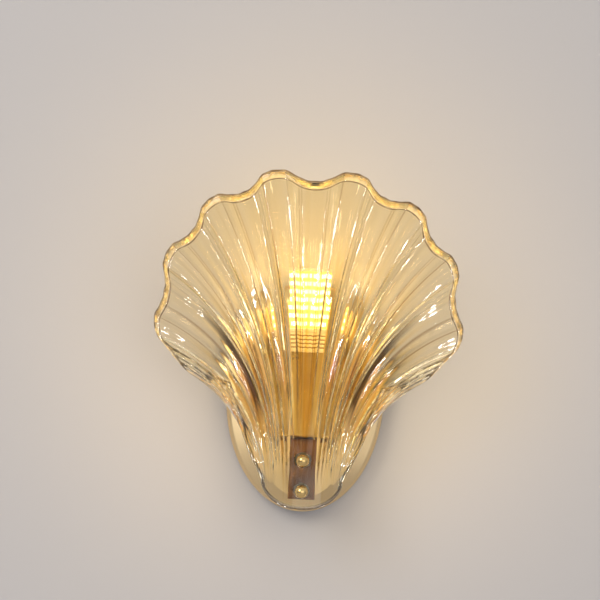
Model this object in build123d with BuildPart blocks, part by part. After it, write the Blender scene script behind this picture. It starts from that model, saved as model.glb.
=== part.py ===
from build123d import *

import os
from math import atan, cos, pi, radians, sin, sqrt, tan, tanh

# A wall sconce: a fluted glass shell stands in front of an oval brass plate, screwed by its narrow
# lower end, the tongue, to a flat bar, with a small lamp in a brass cup behind the glass.
# Millimetres. The origin is the centre of the plate's back, on the wall. +Z is up, +X is to the
# viewer's right, and the room is on the -Y side, so a depth d is the plane y = -d.

# ---------------------------------------------------------------- driving sizes
# wall plate
PLATE_W = 125.0
PLATE_H = 183.0
PLATE_DEPTH = 22.0
PLATE_WALL = 1.5
BEVEL_W = 13.0          # width of the sloping border round the flat front
BEVEL_DROP = 8.0        # how far the border falls back from the flat front
BEVEL_ROUND = 8.0       # rounding between the border and the side wall

# strap on the wall, behind the plate
STRAP_T = 2.0
STRAP_W = 25.0
STRAP_BEND_R = 2.0      # inside of the bend
SLOT_PITCH = 76.0
SLOT_L = 12.0
SLOT_W = 5.0

# screws
M4_R = 2.0
M4_HEAD_R = 3.6
M4_HEAD_H = 2.2
M3_R = 1.5
M3_HEAD_R = 2.75
M3_HEAD_H = 1.8
HEAD_CROWN = 0.45       # rounding of a pan head's rim, as a share of the head's height
SCREW_OUT = 1.5         # how far a screw's end passes the metal it is screwed into
THREAD_GAP = 0.05       # radial room between a modelled thread and its hole
SCREW_GAP = 0.3         # radial room round a screw or pipe that passes through
FIT_GAP = 0.3           # room between pieces that only lie side by side

# terminal block and earth screw, on the strap
BLOCK_X = 21.0
BLOCK_W = 16.0
BLOCK_H = 13.0
BLOCK_D = 12.0
BLOCK_ROUND = 1.5
BLOCK_SINK = 1.0        # how deep the screws lie below the block's face
POLE_PITCH = 8.0
POLE_SCREW_R = 1.6
POLE_SCREW_Z = 2.8      # above the middle of the block
POLE_SLOT_W = 0.5
POLE_SLOT_DEPTH = 0.7
WIRE_DEPTH = 4.5        # the wire bores' axis, off the strap
WIRE_BORE_R = 1.5
EARTH_X = -18.0
EARTH_WASHER_R = 4.6
EARTH_WASHER_T = 1.0

# hollow thread and nuts
PIPE_R = 5.0            # M10 hollow thread
PIPE_BORE_R = 3.5
NUT_ACROSS = 14.0
NUT_T = 5.0
PIPE_OUT = 1.3          # how far the arm's thread passes its nut

# arm from the plate to the bracket
ARM_Z = -43.0
ARM_R = 8.0
ARM_BORE_R = 4.5
ARM_FLANGE_R = 11.0
ARM_FLANGE_T = 2.5
ARM_BOSS_R = 9.0
ARM_BOSS_TOP = -32.0
ARM_END_WALL = 3.5
ARM_END_ROUND = 1.5
ARM_TO_BAR = 3.0        # room between the arm's end and the bar
TAG_R = 8.5
TAG_T = 1.2
TAG_TAIL_L = 17.0
TAG_TAIL_W = 5.0
TAG_TURN = 135.0        # degrees from +X to the tail

# bar that carries the glass: an L, upright in front and bent back under the cup
BAR_W = 20.0
BAR_T = 3.0
BAR_BOTTOM = -76.0
BAR_BEND_R = 1.5        # inside of the bend
BAR_BACK_L = 13.0       # how far the bent-back leg reaches behind the cup's axis

# cup and lampholder, on one upright axis
LAMP_DEPTH = 46.0
CUP_R = 17.5
CUP_WALL = 1.2
CUP_TOP = 36.8
CUP_FOOT_R = 3.0
CUP_BEAD = 0.7
HOLDER_R = 14.0
HOLDER_LIFT = 3.0       # room between the nut in the cup and the holder
HOLDER_BASE_H = 18.0
HOLDER_FOOT_R = 3.0
HOLDER_TOP = 51.7
HOLDER_WALL = 3.0
HOLDER_FLOOR = 6.0
PIPE_IN = 5.0           # how far the hollow thread reaches into the holder's floor
PIPE_LIFT = 1.5         # room between the hollow thread and the arm's bore
HOLDER_WEB = 6.0
SHELL_R = 8.1
SHELL_T = 0.8
SHELL_H = 26.0
SHELL_GAP = 0.1
SHELL_SINK = 2.0        # how deep the shell's rim lies below the wide part of the skirt
SKIRT_WALL = 2.0
SKIRT_RINGS = 4
RING_PITCH = 3.0
RING_DEPTH = 0.8
CONTACT_W = 4.0
CONTACT_T = 0.6
CONTACT_L = 9.0
CONTACT_H = 2.5
TERMINAL_X = 4.5
TERMINAL_W = 4.0
TERMINAL_H = 6.0
TERMINAL_ROUND = 0.6

# lamp: small screw cap, ringed neck and a ten-sided column of LED chips
CAP_R = 6.9
CAP_H = 20.5
CAP_TAPER = 1.0
CAP_TAPER_H = 2.0
INSULATOR_H = 2.3
INSULATOR_EDGE = 1.0    # how much wider than the tip the insulator's lower end is
TIP_R = 2.4
TIP_H = 1.6
CONTACT_GAP = 0.3
NECK_LOW_R = 7.8
NECK_LIFT = 1.0         # from the skirt's inner step up to the neck's cone
NECK_CONE_H = 3.0
NECK_R = 11.2
NECK_FLANGE_R = 14.0
NECK_FLANGE_T = 2.8
NECK_ROUND = 1.0
NECK_GAP = 0.5          # between the neck's flange and the top of the skirt
CORE_SIDES = 10
CORE_FLAT_R = 12.4      # axis to the middle of a side
CORE_H = 44.0
TOP_R = 13.6
TOP_T = 2.5
TOP_ROUND = 1.5
CHIP_W = 2.9
CHIP_H = 3.8
CHIP_T = 0.9
CHIP_ROWS = 7
CHIP_ROW_PITCH = 6.2
CHIP_COLUMN_PITCH = 4.1

# leads inside
LEAD_R = 1.1
LEAD_SPREAD = 1.6       # each lead's distance from the middle of the arm's bore
LEAD_BEND_R = 6.0
LEAD_END_IN = 3.0       # how far a lead's end reaches into the terminal block
LEAD_DROP = 11.0        # straight run below the block
LEAD_JOG = 1.5          # straight run below a holder terminal
JOG_BEND_R = 2.5
EARTH_BEND_R = 5.0
EARTH_DROP = 8.0        # straight run below the earth screw
EARTH_RISE = 9.0        # how far above the tag the earth lead comes off the strap
EARTH_IN = 2.2          # where it is soldered, from the tail's end

# screws, pads and washers that hold the glass
SHADE_SCREW_Z = -45.9   # the upper one
SHADE_SCREW_PITCH = 23.5
BALL_R = 5.0
BALL_HEAD_H = 7.5
GLASS_HOLE_R = 3.0
PAD_R = 6.0
PAD_T = 1.5
WASHER_R = 4.8          # less than the ball's, so the ball covers it
WASHER_T = 1.0

# glass shell
GLASS_T = 5.0
RIM_EXTRA_T = 2.0       # the rim is this much thicker than the rest
CUP_ROOM = 1.5          # from the cup's foremost line to the plane of the tongue's back
TONGUE_HALF_W = 31.5
TONGUE_ARC_Z = -62.0    # where the tongue's sides end and its round end begins
TONGUE_ARC_H = 21.0
TONGUE_CURL = 17.0      # how far the tongue's sides fall back towards the wall
RIM_Z = 54.4            # middle of the fan's round outline
RIM_LEAN = 53.0         # how far the rim's top stands out in front of the tongue
RIM_WRAP = 0.53         # how fast the rim falls back round the sides: depth = cos(wrap * angle)
LOBE_SQUARE = 1.3       # how flat the outline's crests and valleys are
FLUTE_DEPTH = 3.0       # front-to-back height of a flute, to each side of the mean
FLUTE_STEEP = 2.0       # a flute's floor and crest are flat, and its walls this much steeper than a sine
BACK_SHARE = 0.6        # how much of the flutes' depth the back follows
FLUTES_START = 0.14     # share of a rib's length at which the flutes begin
FLUTES_FULL_AT = 0.55   # and where they reach full depth
FLUTES_EASE = 1.2       # how gently they begin: 1 is a straight rise
STEPS_A_LOBE = 12       # a multiple of 6 puts an edge at each corner of a flute
STEPS_A_RIB = 6
# degrees from straight up to the valleys, at whole numbers of lobes, and to the crests between them
LOBE_ANGLES = ((0, 0), (0.5, 15.75), (1, 28.0), (1.5, 40.3), (2, 52.5), (2.5, 64.8), (3, 77.8),
               (3.5, 92.5), (4, 104.5), (4.5, 115.0), (5, 126.0))
# mean radius of the fan's outline, and height of its lobes, by the angle from straight up
RIM_RADII = ((0, 110.8), (40, 114.5), (66, 114.0), (92, 111.5), (104, 107.0), (115, 93.0), (126, 78.0))
LOBE_HEIGHTS = ((0, 5.5), (16, 5.0), (40, 4.2), (92, 3.6), (104, 2.5), (126, 1.5))
# a rib's bend, by its place between the middle, 0, and the side, 1: how far its control point
# stands above its foot, and outside it
RIB_RISE = ((0, 124.0), (0.3, 120.0), (0.6, 111.0), (0.8, 75.0), (1, 37.0))
RIB_STEP = ((0, 0.0), (0.6, 0.0), (0.8, 10.0), (1, 18.5))

# ---------------------------------------------------------------- worked-out places
plate_inner_depth = PLATE_DEPTH - PLATE_WALL
plate_inner_w = PLATE_W / 2 - PLATE_WALL
plate_inner_h = PLATE_H / 2 - PLATE_WALL
bevel_turn = atan(BEVEL_W / BEVEL_DROP)
plate_straight = plate_inner_depth - BEVEL_DROP - (BEVEL_ROUND - PLATE_WALL) * tan(bevel_turn / 2)
ear_depth = plate_straight - FIT_GAP
side_screw_depth = ear_depth / 2
strap_x = plate_inner_w * sqrt(1 - (STRAP_W / 2 / plate_inner_h) ** 2) - FIT_GAP
tongue_depth = LAMP_DEPTH + CUP_R + CUP_ROOM + GLASS_T
rim_depth = tongue_depth + RIM_LEAN
bar_front_depth = tongue_depth - GLASS_T - PAD_T
bar_back_depth = bar_front_depth - BAR_T
bar_top = ARM_BOSS_TOP + BAR_T
arm_end_depth = bar_back_depth - ARM_TO_BAR
cup_floor = bar_top + CUP_WALL
holder_base_z = cup_floor + NUT_T + HOLDER_LIFT
holder_z = holder_base_z + HOLDER_BASE_H
web_top = holder_z + HOLDER_WEB
skirt_z = web_top + SHELL_H + SHELL_SINK
pipe_bottom = ARM_Z + ARM_BORE_R + PIPE_LIFT
pipe_top = holder_base_z + PIPE_IN
tip_z = web_top + CONTACT_H + CONTACT_GAP
cap_z = tip_z + TIP_H + INSULATOR_H
neck_z = cap_z + CAP_H
neck_cone_z = skirt_z + NECK_LIFT
neck_top = HOLDER_TOP + NECK_GAP + NECK_FLANGE_T
core_top = neck_top + CORE_H
tag_depth = plate_inner_depth - TAG_T
arm_nut_depth = tag_depth - NUT_T
arm_thread_end = arm_nut_depth - PIPE_OUT

os.makedirs("parts", exist_ok=True)


def write(piece, name):
    piece.part.label = name
    export_step(piece.part, f"parts/{name}.step")


def between(stations, at):
    """The value at a place, in a straight line from one station to the next."""
    for (a, low), (b, high) in zip(stations, stations[1:]):
        if at <= b:
            return low + (high - low) * (at - a) / (b - a)
    return stations[-1][1]


def level(z):
    """A level plane on the lamp's axis, at a height."""
    return Plane((0, -LAMP_DEPTH, z))


# ---------------------------------------------------------------- wall plate
def plate_form(inset):
    """The plate's outside, or the same form drawn in by a wall thickness."""
    half_w = PLATE_W / 2 - inset
    half_h = PLATE_H / 2 - inset
    depth = PLATE_DEPTH - inset
    shoulder_y = -(depth - BEVEL_DROP)
    with BuildPart() as form:
        with BuildSketch(Plane.XZ):
            Ellipse(half_w, half_h)
        extrude(amount=depth - BEVEL_DROP)
        with BuildSketch(Plane.XZ.offset(depth - BEVEL_DROP)):
            Ellipse(half_w, half_h)
        with BuildSketch(Plane.XZ.offset(depth)):
            Ellipse(half_w - BEVEL_W, half_h - BEVEL_W)
        loft(ruled=True)
        shoulder = form.edges().filter_by(lambda e: abs(e.center().Y - shoulder_y) < 0.01)
        fillet(shoulder, BEVEL_ROUND - inset)
    return form.part


with BuildPart() as backplate:
    add(plate_form(0))
    add(plate_form(PLATE_WALL), mode=Mode.SUBTRACT)
    with BuildSketch(Plane.XZ):
        with Locations((0, ARM_Z)):
            Circle(PIPE_R + SCREW_GAP)
    extrude(amount=PLATE_DEPTH, mode=Mode.SUBTRACT)
    with BuildSketch(Plane.YZ):
        with Locations((-side_screw_depth, 0)):
            Circle(M4_R + SCREW_GAP)
    extrude(amount=PLATE_W, both=True, mode=Mode.SUBTRACT)
write(backplate, "backplate")

# ---------------------------------------------------------------- strap, its screws and the terminals
half_strap = STRAP_T / 2
with BuildPart() as mounting_strap:
    with BuildSketch(Plane.XY):
        with BuildLine():
            FilletPolyline(
                (-strap_x + half_strap, -ear_depth),
                (-strap_x + half_strap, -half_strap),
                (strap_x - half_strap, -half_strap),
                (strap_x - half_strap, -ear_depth),
                radius=STRAP_BEND_R + half_strap,
            )
        trace(line_width=STRAP_T)
    extrude(amount=STRAP_W / 2, both=True)
    with BuildSketch(Plane.XZ):
        with GridLocations(SLOT_PITCH, 0, 2, 1):
            SlotOverall(SLOT_L, SLOT_W)
        with Locations((EARTH_X, 0)):
            Circle(M4_R + THREAD_GAP)
        with Locations((BLOCK_X, 0)):
            Circle(M3_R + THREAD_GAP)
    extrude(amount=STRAP_T, mode=Mode.SUBTRACT)
    with BuildSketch(Plane.YZ):
        with Locations((-side_screw_depth, 0)):
            Circle(M4_R + THREAD_GAP)
    extrude(amount=PLATE_W, both=True, mode=Mode.SUBTRACT)
write(mounting_strap, "mounting_strap")


def pan_screw(start, shank_r, shank_l, head_r, head_h):
    """A pan-head screw: its head sits on the start plane and its shank goes down behind it."""
    with BuildPart(start) as screw:
        Cylinder(shank_r, shank_l, align=(Align.CENTER, Align.CENTER, Align.MAX))
        Cylinder(head_r, head_h, align=(Align.CENTER, Align.CENTER, Align.MIN))
        crown = screw.edges().filter_by(GeomType.CIRCLE).sort_by(Axis(start.origin, start.z_dir))[-1]
        fillet(crown, head_h * HEAD_CROWN)
    return screw.part


with BuildPart() as canopy_screws:
    for side in (-1, 1):
        seat = Plane((side * PLATE_W / 2, -side_screw_depth, 0), x_dir=(0, 0, 1), z_dir=(side, 0, 0))
        add(pan_screw(seat, M4_R, PLATE_W / 2 - strap_x + STRAP_T + SCREW_OUT, M4_HEAD_R, M4_HEAD_H))
write(canopy_screws, "canopy_screws")

with BuildPart() as earth_washer:
    with BuildSketch(Plane.XZ.offset(STRAP_T)):
        with Locations((EARTH_X, 0)):
            Circle(EARTH_WASHER_R)
            Circle(M4_R + SCREW_GAP, mode=Mode.SUBTRACT)
    extrude(amount=EARTH_WASHER_T)
write(earth_washer, "earth_washer")

with BuildPart() as earth_screw:
    seat = Plane((EARTH_X, -STRAP_T - EARTH_WASHER_T, 0), x_dir=(1, 0, 0), z_dir=(0, -1, 0))
    add(pan_screw(seat, M4_R, STRAP_T + EARTH_WASHER_T - FIT_GAP, M4_HEAD_R, M4_HEAD_H))
write(earth_screw, "earth_screw")

block_plane = Plane((BLOCK_X, -STRAP_T, 0), x_dir=(1, 0, 0), z_dir=(0, -1, 0))
with BuildPart() as terminal_block:
    with BuildSketch(block_plane):
        RectangleRounded(BLOCK_W, BLOCK_H, BLOCK_ROUND)
    extrude(amount=BLOCK_D)
    with BuildSketch(block_plane.offset(BLOCK_D)):
        with Locations((-POLE_PITCH / 2, POLE_SCREW_Z), (POLE_PITCH / 2, POLE_SCREW_Z)):
            Circle(POLE_SCREW_R + THREAD_GAP)
    extrude(amount=-(BLOCK_D - WIRE_DEPTH), mode=Mode.SUBTRACT)
    with BuildSketch(block_plane.offset(BLOCK_D)):
        Circle(M3_HEAD_R + THREAD_GAP)
    extrude(amount=-(M3_HEAD_H + BLOCK_SINK), mode=Mode.SUBTRACT)
    with BuildSketch(block_plane):
        Circle(M3_R + THREAD_GAP)
    extrude(amount=BLOCK_D, mode=Mode.SUBTRACT)
    with BuildSketch(Plane.XY):
        with Locations((BLOCK_X, -STRAP_T - WIRE_DEPTH)):
            with GridLocations(POLE_PITCH, 0, 2, 1):
                Circle(WIRE_BORE_R)
    extrude(amount=BLOCK_H, both=True, mode=Mode.SUBTRACT)
write(terminal_block, "terminal_block")

pole_tip_depth = WIRE_DEPTH + WIRE_BORE_R
with BuildPart() as terminal_screws:
    with BuildSketch(block_plane.offset(pole_tip_depth)):
        with Locations((-POLE_PITCH / 2, POLE_SCREW_Z), (POLE_PITCH / 2, POLE_SCREW_Z)):
            Circle(POLE_SCREW_R)
    extrude(amount=BLOCK_D - pole_tip_depth - BLOCK_SINK)
    with BuildSketch(block_plane.offset(BLOCK_D - BLOCK_SINK)):
        with Locations((-POLE_PITCH / 2, POLE_SCREW_Z), (POLE_PITCH / 2, POLE_SCREW_Z)):
            Rectangle(2 * POLE_SCREW_R, POLE_SLOT_W)
    extrude(amount=-POLE_SLOT_DEPTH, mode=Mode.SUBTRACT)
write(terminal_screws, "terminal_screws")

with BuildPart() as terminal_fixing_screw:
    seat_height = BLOCK_D - M3_HEAD_H - BLOCK_SINK
    seat = block_plane.offset(seat_height)
    add(pan_screw(seat, M3_R, seat_height + STRAP_T - FIT_GAP, M3_HEAD_R, M3_HEAD_H))
write(terminal_fixing_screw, "terminal_fixing_screw")

# ---------------------------------------------------------------- arm
with BuildPart() as arm:
    with BuildSketch(Plane.XZ.offset(PLATE_DEPTH)):
        with Locations((0, ARM_Z)):
            Circle(ARM_R)
    extrude(amount=arm_end_depth - PLATE_DEPTH)
    with BuildSketch(Plane.XZ.offset(PLATE_DEPTH)):
        with Locations((0, ARM_Z)):
            Circle(ARM_FLANGE_R)
    extrude(amount=ARM_FLANGE_T)
    with BuildSketch(Plane.XZ.offset(arm_thread_end)):
        with Locations((0, ARM_Z)):
            Circle(PIPE_R)
    extrude(amount=PLATE_DEPTH - arm_thread_end)
    with BuildSketch(level(ARM_Z)):
        Circle(ARM_BOSS_R)
    extrude(amount=ARM_BOSS_TOP - ARM_Z)
    with BuildSketch(Plane.XZ.offset(PLATE_DEPTH)):
        with Locations((0, ARM_Z)):
            Circle(ARM_BORE_R)
    extrude(amount=arm_end_depth - ARM_END_WALL - PLATE_DEPTH, mode=Mode.SUBTRACT)
    with BuildSketch(Plane.XZ.offset(arm_thread_end)):
        with Locations((0, ARM_Z)):
            Circle(PIPE_BORE_R)
    extrude(amount=PLATE_DEPTH, mode=Mode.SUBTRACT)
    with BuildSketch(level(ARM_Z)):
        Circle(PIPE_R + THREAD_GAP)
    extrude(amount=ARM_BOSS_TOP - ARM_Z, mode=Mode.SUBTRACT)
    end_edge = arm.edges().filter_by(GeomType.CIRCLE).sort_by(Axis.Y)[0]
    fillet(end_edge, ARM_END_ROUND)
write(arm, "arm")

with BuildPart() as earth_tag:
    with BuildSketch(Plane.XZ.offset(tag_depth)):
        with Locations((0, ARM_Z)):
            Circle(TAG_R)
        with Locations(Location((0, ARM_Z, 0), (0, 0, TAG_TURN))):
            with Locations((TAG_TAIL_L / 2, 0)):
                Rectangle(TAG_TAIL_L, TAG_TAIL_W)
        with Locations((0, ARM_Z)):
            Circle(PIPE_R + SCREW_GAP, mode=Mode.SUBTRACT)
    extrude(amount=TAG_T)
write(earth_tag, "earth_tag")

with BuildPart() as arm_nut:
    with BuildSketch(Plane.XZ.offset(arm_nut_depth)):
        with Locations((0, ARM_Z)):
            RegularPolygon(NUT_ACROSS / 2, 6, major_radius=False)
            Circle(PIPE_R + THREAD_GAP, mode=Mode.SUBTRACT)
    extrude(amount=NUT_T)
write(arm_nut, "arm_nut")

# ---------------------------------------------------------------- bar that carries the glass
half_bar = BAR_T / 2
with BuildPart() as shade_bracket:
    with BuildSketch(Plane.YZ):
        with BuildLine():
            FilletPolyline(
                (-bar_back_depth - half_bar, BAR_BOTTOM),
                (-bar_back_depth - half_bar, bar_top - half_bar),
                (-LAMP_DEPTH + BAR_BACK_L, bar_top - half_bar),
                radius=BAR_BEND_R + half_bar,
            )
        trace(line_width=BAR_T)
    extrude(amount=BAR_W / 2, both=True)
    with BuildSketch(level(bar_top)):
        Circle(PIPE_R + SCREW_GAP)
    extrude(amount=-BAR_T, mode=Mode.SUBTRACT)
    with BuildSketch(Plane.XZ.offset(bar_back_depth)):
        with Locations((0, SHADE_SCREW_Z), (0, SHADE_SCREW_Z - SHADE_SCREW_PITCH)):
            Circle(M4_R + THREAD_GAP)
    extrude(amount=BAR_T, mode=Mode.SUBTRACT)
write(shade_bracket, "shade_bracket")

# ---------------------------------------------------------------- cup and lampholder
with BuildPart() as cup_nipple:
    with BuildSketch(level(pipe_bottom)):
        Circle(PIPE_R)
        Circle(PIPE_BORE_R, mode=Mode.SUBTRACT)
    extrude(amount=pipe_top - pipe_bottom)
write(cup_nipple, "cup_nipple")

with BuildPart() as lamp_cup:
    with BuildSketch(level(bar_top)):
        Circle(CUP_R)
    extrude(amount=CUP_TOP - bar_top)
    fillet(lamp_cup.edges().sort_by(Axis.Z)[0], CUP_FOOT_R)
    with BuildSketch(level(CUP_TOP - 4 * CUP_BEAD)):
        Circle(CUP_R + CUP_BEAD)
    extrude(amount=2 * CUP_BEAD)
    with BuildSketch(level(cup_floor)):
        Circle(CUP_R - CUP_WALL)
    extrude(amount=CUP_TOP - cup_floor, mode=Mode.SUBTRACT)
    with BuildSketch(level(bar_top)):
        Circle(PIPE_R + SCREW_GAP)
    extrude(amount=CUP_WALL, mode=Mode.SUBTRACT)
write(lamp_cup, "lamp_cup")

with BuildPart() as cup_nut:
    with BuildSketch(level(cup_floor)):
        RegularPolygon(NUT_ACROSS / 2, 6, major_radius=False)
        Circle(PIPE_R + THREAD_GAP, mode=Mode.SUBTRACT)
    extrude(amount=NUT_T)
write(cup_nut, "cup_nut")

with BuildPart() as holder_base:
    with BuildSketch(level(holder_base_z)):
        Circle(HOLDER_R)
    extrude(amount=HOLDER_BASE_H)
    fillet(holder_base.edges().sort_by(Axis.Z)[0], HOLDER_FOOT_R)
    with BuildSketch(level(holder_base_z + HOLDER_FLOOR)):
        Circle(HOLDER_R - HOLDER_WALL)
    extrude(amount=HOLDER_BASE_H, mode=Mode.SUBTRACT)
    with BuildSketch(level(holder_base_z)):
        Circle(PIPE_R + THREAD_GAP)
    extrude(amount=HOLDER_FLOOR, mode=Mode.SUBTRACT)
write(holder_base, "holder_base")

with BuildPart() as holder_body:
    with BuildSketch(level(holder_z)):
        Circle(HOLDER_R)
    extrude(amount=HOLDER_TOP - holder_z)
    with BuildSketch(level(web_top)):
        Circle(SHELL_R + SHELL_GAP)
    extrude(amount=HOLDER_TOP - web_top, mode=Mode.SUBTRACT)
    with BuildSketch(level(skirt_z)):
        Circle(HOLDER_R - SKIRT_WALL)
    extrude(amount=HOLDER_TOP - skirt_z, mode=Mode.SUBTRACT)
    for ring in range(SKIRT_RINGS):
        with BuildSketch(level(HOLDER_TOP - (ring + 1) * RING_PITCH)):
            Circle(HOLDER_R)
            Circle(HOLDER_R - RING_DEPTH, mode=Mode.SUBTRACT)
        extrude(amount=RING_PITCH / 2, mode=Mode.SUBTRACT)
write(holder_body, "holder_body")

with BuildPart() as holder_shell:
    with BuildSketch(level(web_top)):
        Circle(SHELL_R)
        Circle(SHELL_R - SHELL_T, mode=Mode.SUBTRACT)
    extrude(amount=SHELL_H)
write(holder_shell, "holder_shell")

with BuildPart() as holder_contact:
    with BuildSketch(Plane.XZ.offset(LAMP_DEPTH - CONTACT_W / 2)):
        with BuildLine():
            foot = web_top + CONTACT_T / 2
            crown = web_top + CONTACT_H - CONTACT_T / 2
            Polyline((-CONTACT_L / 2, foot), (-CONTACT_L / 4, foot), (-CONTACT_T, crown),
                     (CONTACT_T, crown), (CONTACT_L / 4, foot), (CONTACT_L / 2, foot))
        trace(line_width=CONTACT_T)
    extrude(amount=CONTACT_W)
write(holder_contact, "holder_contact")

with BuildPart() as holder_terminals:
    with BuildSketch(level(holder_z)):
        with GridLocations(2 * TERMINAL_X, 0, 2, 1):
            RectangleRounded(TERMINAL_W, TERMINAL_W, TERMINAL_ROUND)
    extrude(amount=-TERMINAL_H)
write(holder_terminals, "holder_terminals")

# ---------------------------------------------------------------- leads
lead_depth = STRAP_T + WIRE_DEPTH
block_foot = -BLOCK_H / 2


def power_lead(block_x, side):
    """From the block, down and through the arm, up the hollow thread to its terminal."""
    bore_x = side * LEAD_SPREAD
    points = [
        (block_x, -lead_depth, block_foot + LEAD_END_IN),
        (block_x, -lead_depth, block_foot - LEAD_DROP),
        (bore_x, -lead_depth, ARM_Z),
        (bore_x, -LAMP_DEPTH, ARM_Z),
        (bore_x, -LAMP_DEPTH, pipe_top),
        (side * TERMINAL_X, -LAMP_DEPTH, holder_z - TERMINAL_H - LEAD_JOG),
        (side * TERMINAL_X, -LAMP_DEPTH, holder_z - TERMINAL_H),
    ]
    with BuildPart() as lead:
        with BuildLine() as route:
            FilletPolyline(*points, radius=[LEAD_BEND_R] * 3 + [JOG_BEND_R] * 2)
        with BuildSketch(Plane(points[0], z_dir=(0, 0, -1))):
            Circle(LEAD_R)
        sweep(path=route.wire())
    return lead


lead_live = power_lead(BLOCK_X - POLE_PITCH / 2, -1)
write(lead_live, "lead_live")
lead_neutral = power_lead(BLOCK_X + POLE_PITCH / 2, 1)
write(lead_neutral, "lead_neutral")

washer_depth = STRAP_T + LEAD_R
tail_depth = tag_depth - LEAD_R
tail_run = TAG_TAIL_L - EARTH_IN
tail_x = tail_run * cos(radians(TAG_TURN))
tail_z = ARM_Z + tail_run * sin(radians(TAG_TURN))
with BuildPart() as lead_earth:
    with BuildLine() as route:
        earth_points = [
            (EARTH_X, -washer_depth, -EARTH_WASHER_R),
            (EARTH_X, -washer_depth, -EARTH_WASHER_R - EARTH_DROP),
            ((EARTH_X + tail_x) / 2, -tail_depth, tail_z + EARTH_RISE),
            (tail_x, -tail_depth, tail_z),
        ]
        FilletPolyline(*earth_points, radius=EARTH_BEND_R)
    with BuildSketch(Plane(earth_points[0], z_dir=(0, 0, -1))):
        Circle(LEAD_R)
    sweep(path=route.wire())
write(lead_earth, "lead_earth")

# ---------------------------------------------------------------- lamp
with BuildPart() as bulb_tip:
    with BuildSketch(level(tip_z)):
        Circle(TIP_R)
    extrude(amount=TIP_H)
    fillet(bulb_tip.edges().sort_by(Axis.Z)[0], TIP_H / 2)
write(bulb_tip, "bulb_tip")

with BuildPart() as bulb_insulator:
    with BuildSketch(level(tip_z + TIP_H)):
        Circle(TIP_R + INSULATOR_EDGE)
    with BuildSketch(level(cap_z)):
        Circle(CAP_R - CAP_TAPER)
    loft()
write(bulb_insulator, "bulb_insulator")

with BuildPart() as bulb_cap:
    with BuildSketch(level(cap_z)):
        Circle(CAP_R - CAP_TAPER)
    with BuildSketch(level(cap_z + CAP_TAPER_H)):
        Circle(CAP_R)
    loft()
    with BuildSketch(level(cap_z + CAP_TAPER_H)):
        Circle(CAP_R)
    extrude(amount=CAP_H - CAP_TAPER_H)
write(bulb_cap, "bulb_cap")

with BuildPart() as bulb_neck:
    with BuildSketch(level(neck_z)):
        Circle(NECK_LOW_R)
    extrude(amount=neck_cone_z - neck_z)
    with BuildSketch(level(neck_cone_z)):
        Circle(NECK_LOW_R)
    with BuildSketch(level(neck_cone_z + NECK_CONE_H)):
        Circle(NECK_R)
    loft()
    with BuildSketch(level(neck_cone_z + NECK_CONE_H)):
        Circle(NECK_R)
    extrude(amount=neck_top - neck_cone_z - NECK_CONE_H)
    with BuildSketch(level(neck_top)):
        Circle(NECK_FLANGE_R)
    extrude(amount=-NECK_FLANGE_T)
    fillet(bulb_neck.edges().sort_by(Axis.Z)[-1], NECK_ROUND)
write(bulb_neck, "bulb_neck")

with BuildPart() as bulb_core:
    with BuildSketch(level(neck_top)):
        RegularPolygon(CORE_FLAT_R, CORE_SIDES, major_radius=False)
    extrude(amount=CORE_H)
write(bulb_core, "bulb_core")

with BuildPart() as led_chips:
    corner_turn = 360 / CORE_SIDES
    for side in range(CORE_SIDES):
        turn = radians((side + 0.5) * corner_turn)
        out = Vector(cos(turn), sin(turn), 0)
        middle = Vector(0, -LAMP_DEPTH, neck_top + CORE_H / 2) + out * CORE_FLAT_R
        with BuildSketch(Plane(middle, x_dir=out.cross(Vector(0, 0, -1)), z_dir=out)):
            with GridLocations(CHIP_COLUMN_PITCH, CHIP_ROW_PITCH, 2, CHIP_ROWS):
                Rectangle(CHIP_W, CHIP_H)
        extrude(amount=CHIP_T)
write(led_chips, "led_chips")

with BuildPart() as bulb_top:
    with BuildSketch(level(core_top)):
        Circle(TOP_R)
    extrude(amount=TOP_T)
    fillet(bulb_top.edges().sort_by(Axis.Z)[-1], TOP_ROUND)
write(bulb_top, "bulb_top")


# ---------------------------------------------------------------- glass shell
# The shell is a fan of ribs. A rib's share runs from -1 at the left side edge through 0 in the middle
# to 1 at the right side edge, and its length from 0 at the tongue's end to 1 at the rim.
lobes_a_side, side_angle = LOBE_ANGLES[-1]
angle_lobes = [(angle, lobes) for lobes, angle in LOBE_ANGLES]


def lobe_wave(angle):
    """The outline's wave: 1 on a lobe's crest and -1 in a valley."""
    lobes = between(angle_lobes, angle)
    return tanh(-LOBE_SQUARE * cos(2 * pi * lobes)) / tanh(LOBE_SQUARE)


def flute_wave(angle):
    """The flutes' depth: 1 on a lobe's flat crest and -1 on a valley's flat floor."""
    lobes = between(angle_lobes, angle)
    return max(-1, min(1, -FLUTE_STEEP * cos(2 * pi * lobes)))


def rim_point(share, lobed):
    angle = abs(share) * side_angle
    radius = between(RIM_RADII, angle)
    if lobed:
        radius += between(LOBE_HEIGHTS, angle) * lobe_wave(angle)
    turn = radians(share * side_angle)
    return Vector(radius * sin(turn), -rim_depth * cos(RIM_WRAP * turn), RIM_Z + radius * cos(turn))


def tongue_point(share):
    turn = share * pi / 2
    depth = tongue_depth - TONGUE_CURL * abs(sin(turn)) ** 3
    return Vector(TONGUE_HALF_W * sin(turn), -depth, TONGUE_ARC_Z - TONGUE_ARC_H * cos(turn))


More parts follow.
